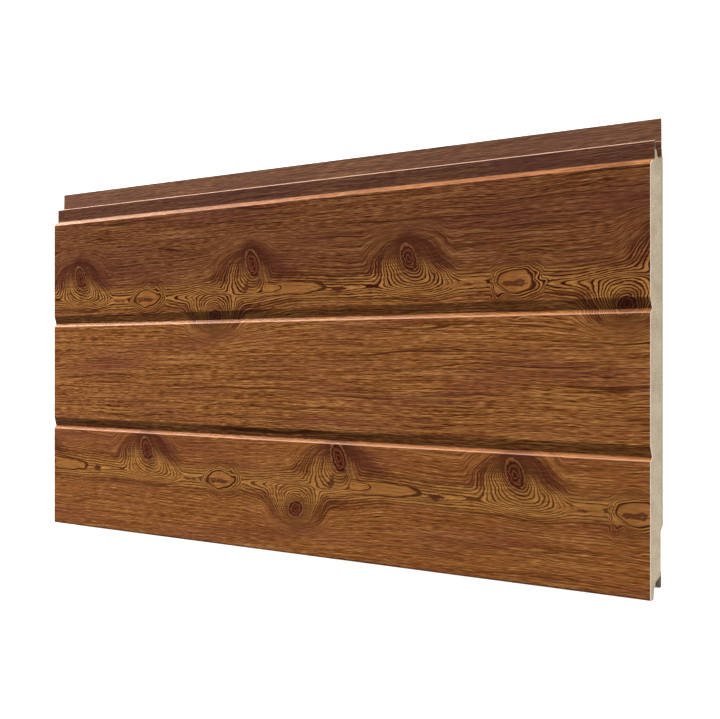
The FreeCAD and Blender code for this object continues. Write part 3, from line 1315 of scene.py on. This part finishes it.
@dataclass
class FoamCore:
    """The rigid foam behind the sheet, sawn off at both ends."""

    node: str = "foam_core"
    edge_step: float = 2.0
    grid_step: float = 1.6
    unevenness: float = 0.12
    lump: float = 2.2
    grid_jitter: float = 0.3
    rim_gap: float = 0.6
    grid_seed: int = 4
    saw_seed: int = 30

    def build(self) -> bpy.types.Object:
        """Make the foam's mesh with uneven sawn ends.

        Returns:
            The foam, closed.
        """
        outline = EndOutline.of_node(self.node)
        rim = divided(outline.points, self.edge_step * MM, closed=True)
        low, high = rim.min(axis=0), rim.max(axis=0)
        step = self.grid_step * MM
        grid = np.stack(np.meshgrid(np.arange(low[0] + step / 2, high[0], step),
                                    np.arange(low[1] + step / 2, high[1], step)), axis=-1).reshape(-1, 2)
        jitter = np.random.default_rng(self.grid_seed)
        grid = grid + jitter.uniform(-self.grid_jitter, self.grid_jitter, grid.shape) * step
        clear = np.array([np.linalg.norm(rim - spot, axis=1).min() > self.rim_gap * step for spot in grid])
        spots = np.concatenate([rim, grid[clear]])
        loop = list(range(len(rim)))
        flat, _, triangles, _, _, _ = delaunay_2d_cdt([Vector(p) for p in spots], [], [loop], 1, 1e-7)
        flat = np.array([tuple(p) for p in flat])
        inner = np.arange(len(flat)) >= len(rim)
        faces, blocks = [], []
        for end, sign in enumerate((-1.0, 1.0)):
            lumps = flat / (self.lump * MM)
            wave = lattice_noise(lumps[:, 0], lumps[:, 1], self.saw_seed + end)
            depth = np.where(inner, self.unevenness * MM * (wave - 1.0), 0.0)
            block = np.column_stack([sign * (outline.half_length + depth), flat])
            start = end * len(flat)
            faces += [tuple(start + v for v in (t if sign > 0 else t[::-1])) for t in triangles]
            blocks.append(block)
        far = len(flat)
        for a, b in zip(loop, loop[1:] + loop[:1]):
            faces.append((a, b, far + b, far + a))
        return new_piece("sawn_foam_core", np.concatenate(blocks), faces, self.node)

    def dress(self, piece: bpy.types.Object) -> None:
        """Give the foam its sawn finish."""
        piece.data.materials.append(SawnFoam().build())


@dataclass
class BackingFoil:
    """The thin foil over the flat of the back."""

    node: str = "backing_foil"

    def dress(self) -> None:
        """Give the solid's own mesh its foil finish."""
        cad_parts[self.node].data.materials[0] = StuccoFoil().build()


@dataclass(frozen=True)
class SoftBox:
    """Square soft light turned to the panel's middle.

    Filters can hold back its wash or its glare, and flags can keep it off some pieces.
    """

    name: str
    at: tuple[float, float, float]
    size: float
    power: float
    wash: bool = True
    glare: bool = True
    flagged_off: tuple[str, ...] = ()

    def place(self) -> None:
        """Hang the light."""
        data = bpy.data.lights.new(self.name, "AREA")
        data.size = self.size * MM
        data.energy = self.power
        lamp = bpy.data.objects.new(self.name, data)
        lamp.location = Vector(self.at) * MM
        lamp.rotation_euler = lamp.location.to_track_quat("Z", "Y").to_euler()
        lamp.visible_diffuse = self.wash
        lamp.visible_glossy = self.glare
        bpy.context.scene.collection.objects.link(lamp)
        if self.flagged_off:
            flags = bpy.data.collections.new(f"{self.name}_flags")
            for name in self.flagged_off:
                flags.objects.link(bpy.data.objects[name])
            for entry in flags.collection_objects:
                entry.light_linking.link_state = "EXCLUDE"
            lamp.light_linking.receiver_collection = flags


@dataclass
class Studio:
    """Camera at the photograph's angle, a pale floor, low soft lights and an even fill."""

    lens: float = 94.5
    sensor: float = 36.0
    shift_up: float = -0.003
    camera_at: tuple[float, float, float] = (1591.4, 1.5, 1231.0)
    right_way: tuple[float, float, float] = (0.63389, 0.0, -0.77342)
    back_way: tuple[float, float, float] = (0.77342, 0.0, 0.63389)
    lights: tuple[SoftBox, ...] = (
        SoftBox("key_light", (-8000.0, 3746.0, 978.0), 1270.0, 5320.0, glare=False,
                flagged_off=("sawn_foam_core",)),
        SoftBox("sheen_light", (-3850.0, 2100.0, 400.0), 900.0, 60.0, wash=False),
        SoftBox("end_card", (2600.0, -1300.0, 350.0), 1500.0, 27.0),
    )
    fill: float = 0.14
    floor_half: float = 20000.0

    def aim(self) -> None:
        """Set up the camera."""
        data = bpy.data.cameras.new("photo_camera")
        data.lens = self.lens
        data.sensor_width = self.sensor
        data.sensor_fit = "HORIZONTAL"
        data.shift_y = self.shift_up
        data.clip_end = 100.0
        camera = bpy.data.objects.new("photo_camera", data)
        axes = Matrix((self.right_way, (0.0, 1.0, 0.0), self.back_way)).transposed().to_4x4()
        camera.matrix_world = Matrix.Translation(Vector(self.camera_at) * MM) @ axes
        bpy.context.scene.collection.objects.link(camera)
        bpy.context.scene.camera = camera

    def lay_floor(self) -> None:
        """Lay the pale floor under the panel."""
        size = self.floor_half * MM
        mesh = bpy.data.meshes.new("floor")
        mesh.from_pydata([(-size, -size, 0), (size, -size, 0), (size, size, 0), (-size, size, 0)], [],
                         [(0, 1, 2, 3)])
        mesh.materials.append(OpalFloor().build())
        floor = bpy.data.objects.new("floor", mesh)
        bpy.context.scene.collection.objects.link(floor)

    def light(self) -> None:
        """Hang the lights and set the even fill."""
        for soft_box in self.lights:
            soft_box.place()
        world = bpy.data.worlds.new("studio_fill")
        world.use_nodes = True
        world.node_tree.nodes["Background"].inputs["Strength"].default_value = self.fill
        world.node_tree.nodes["Background"].inputs["Color"].default_value = (1.0, 1.0, 1.0, 1.0)
        bpy.context.scene.world = world
        bpy.context.scene.view_settings.view_transform = "Standard"


def main() -> None:
    """Build and dress the panel's pieces, then set the studio."""
    logging.basicConfig(level=logging.INFO, format="%(name)s %(message)s")
    for maker in (FaceSheet(), FoamCore()):
        piece = maker.build()
        maker.dress(piece)
        LOG.info("%s: %d faces", piece.name, len(piece.data.polygons))
    BackingFoil().dress()
    LOG.info("backing_foil: dressed")
    studio = Studio()
    studio.lay_floor()
    studio.light()
    studio.aim()


if __name__ == "__main__":
    main()
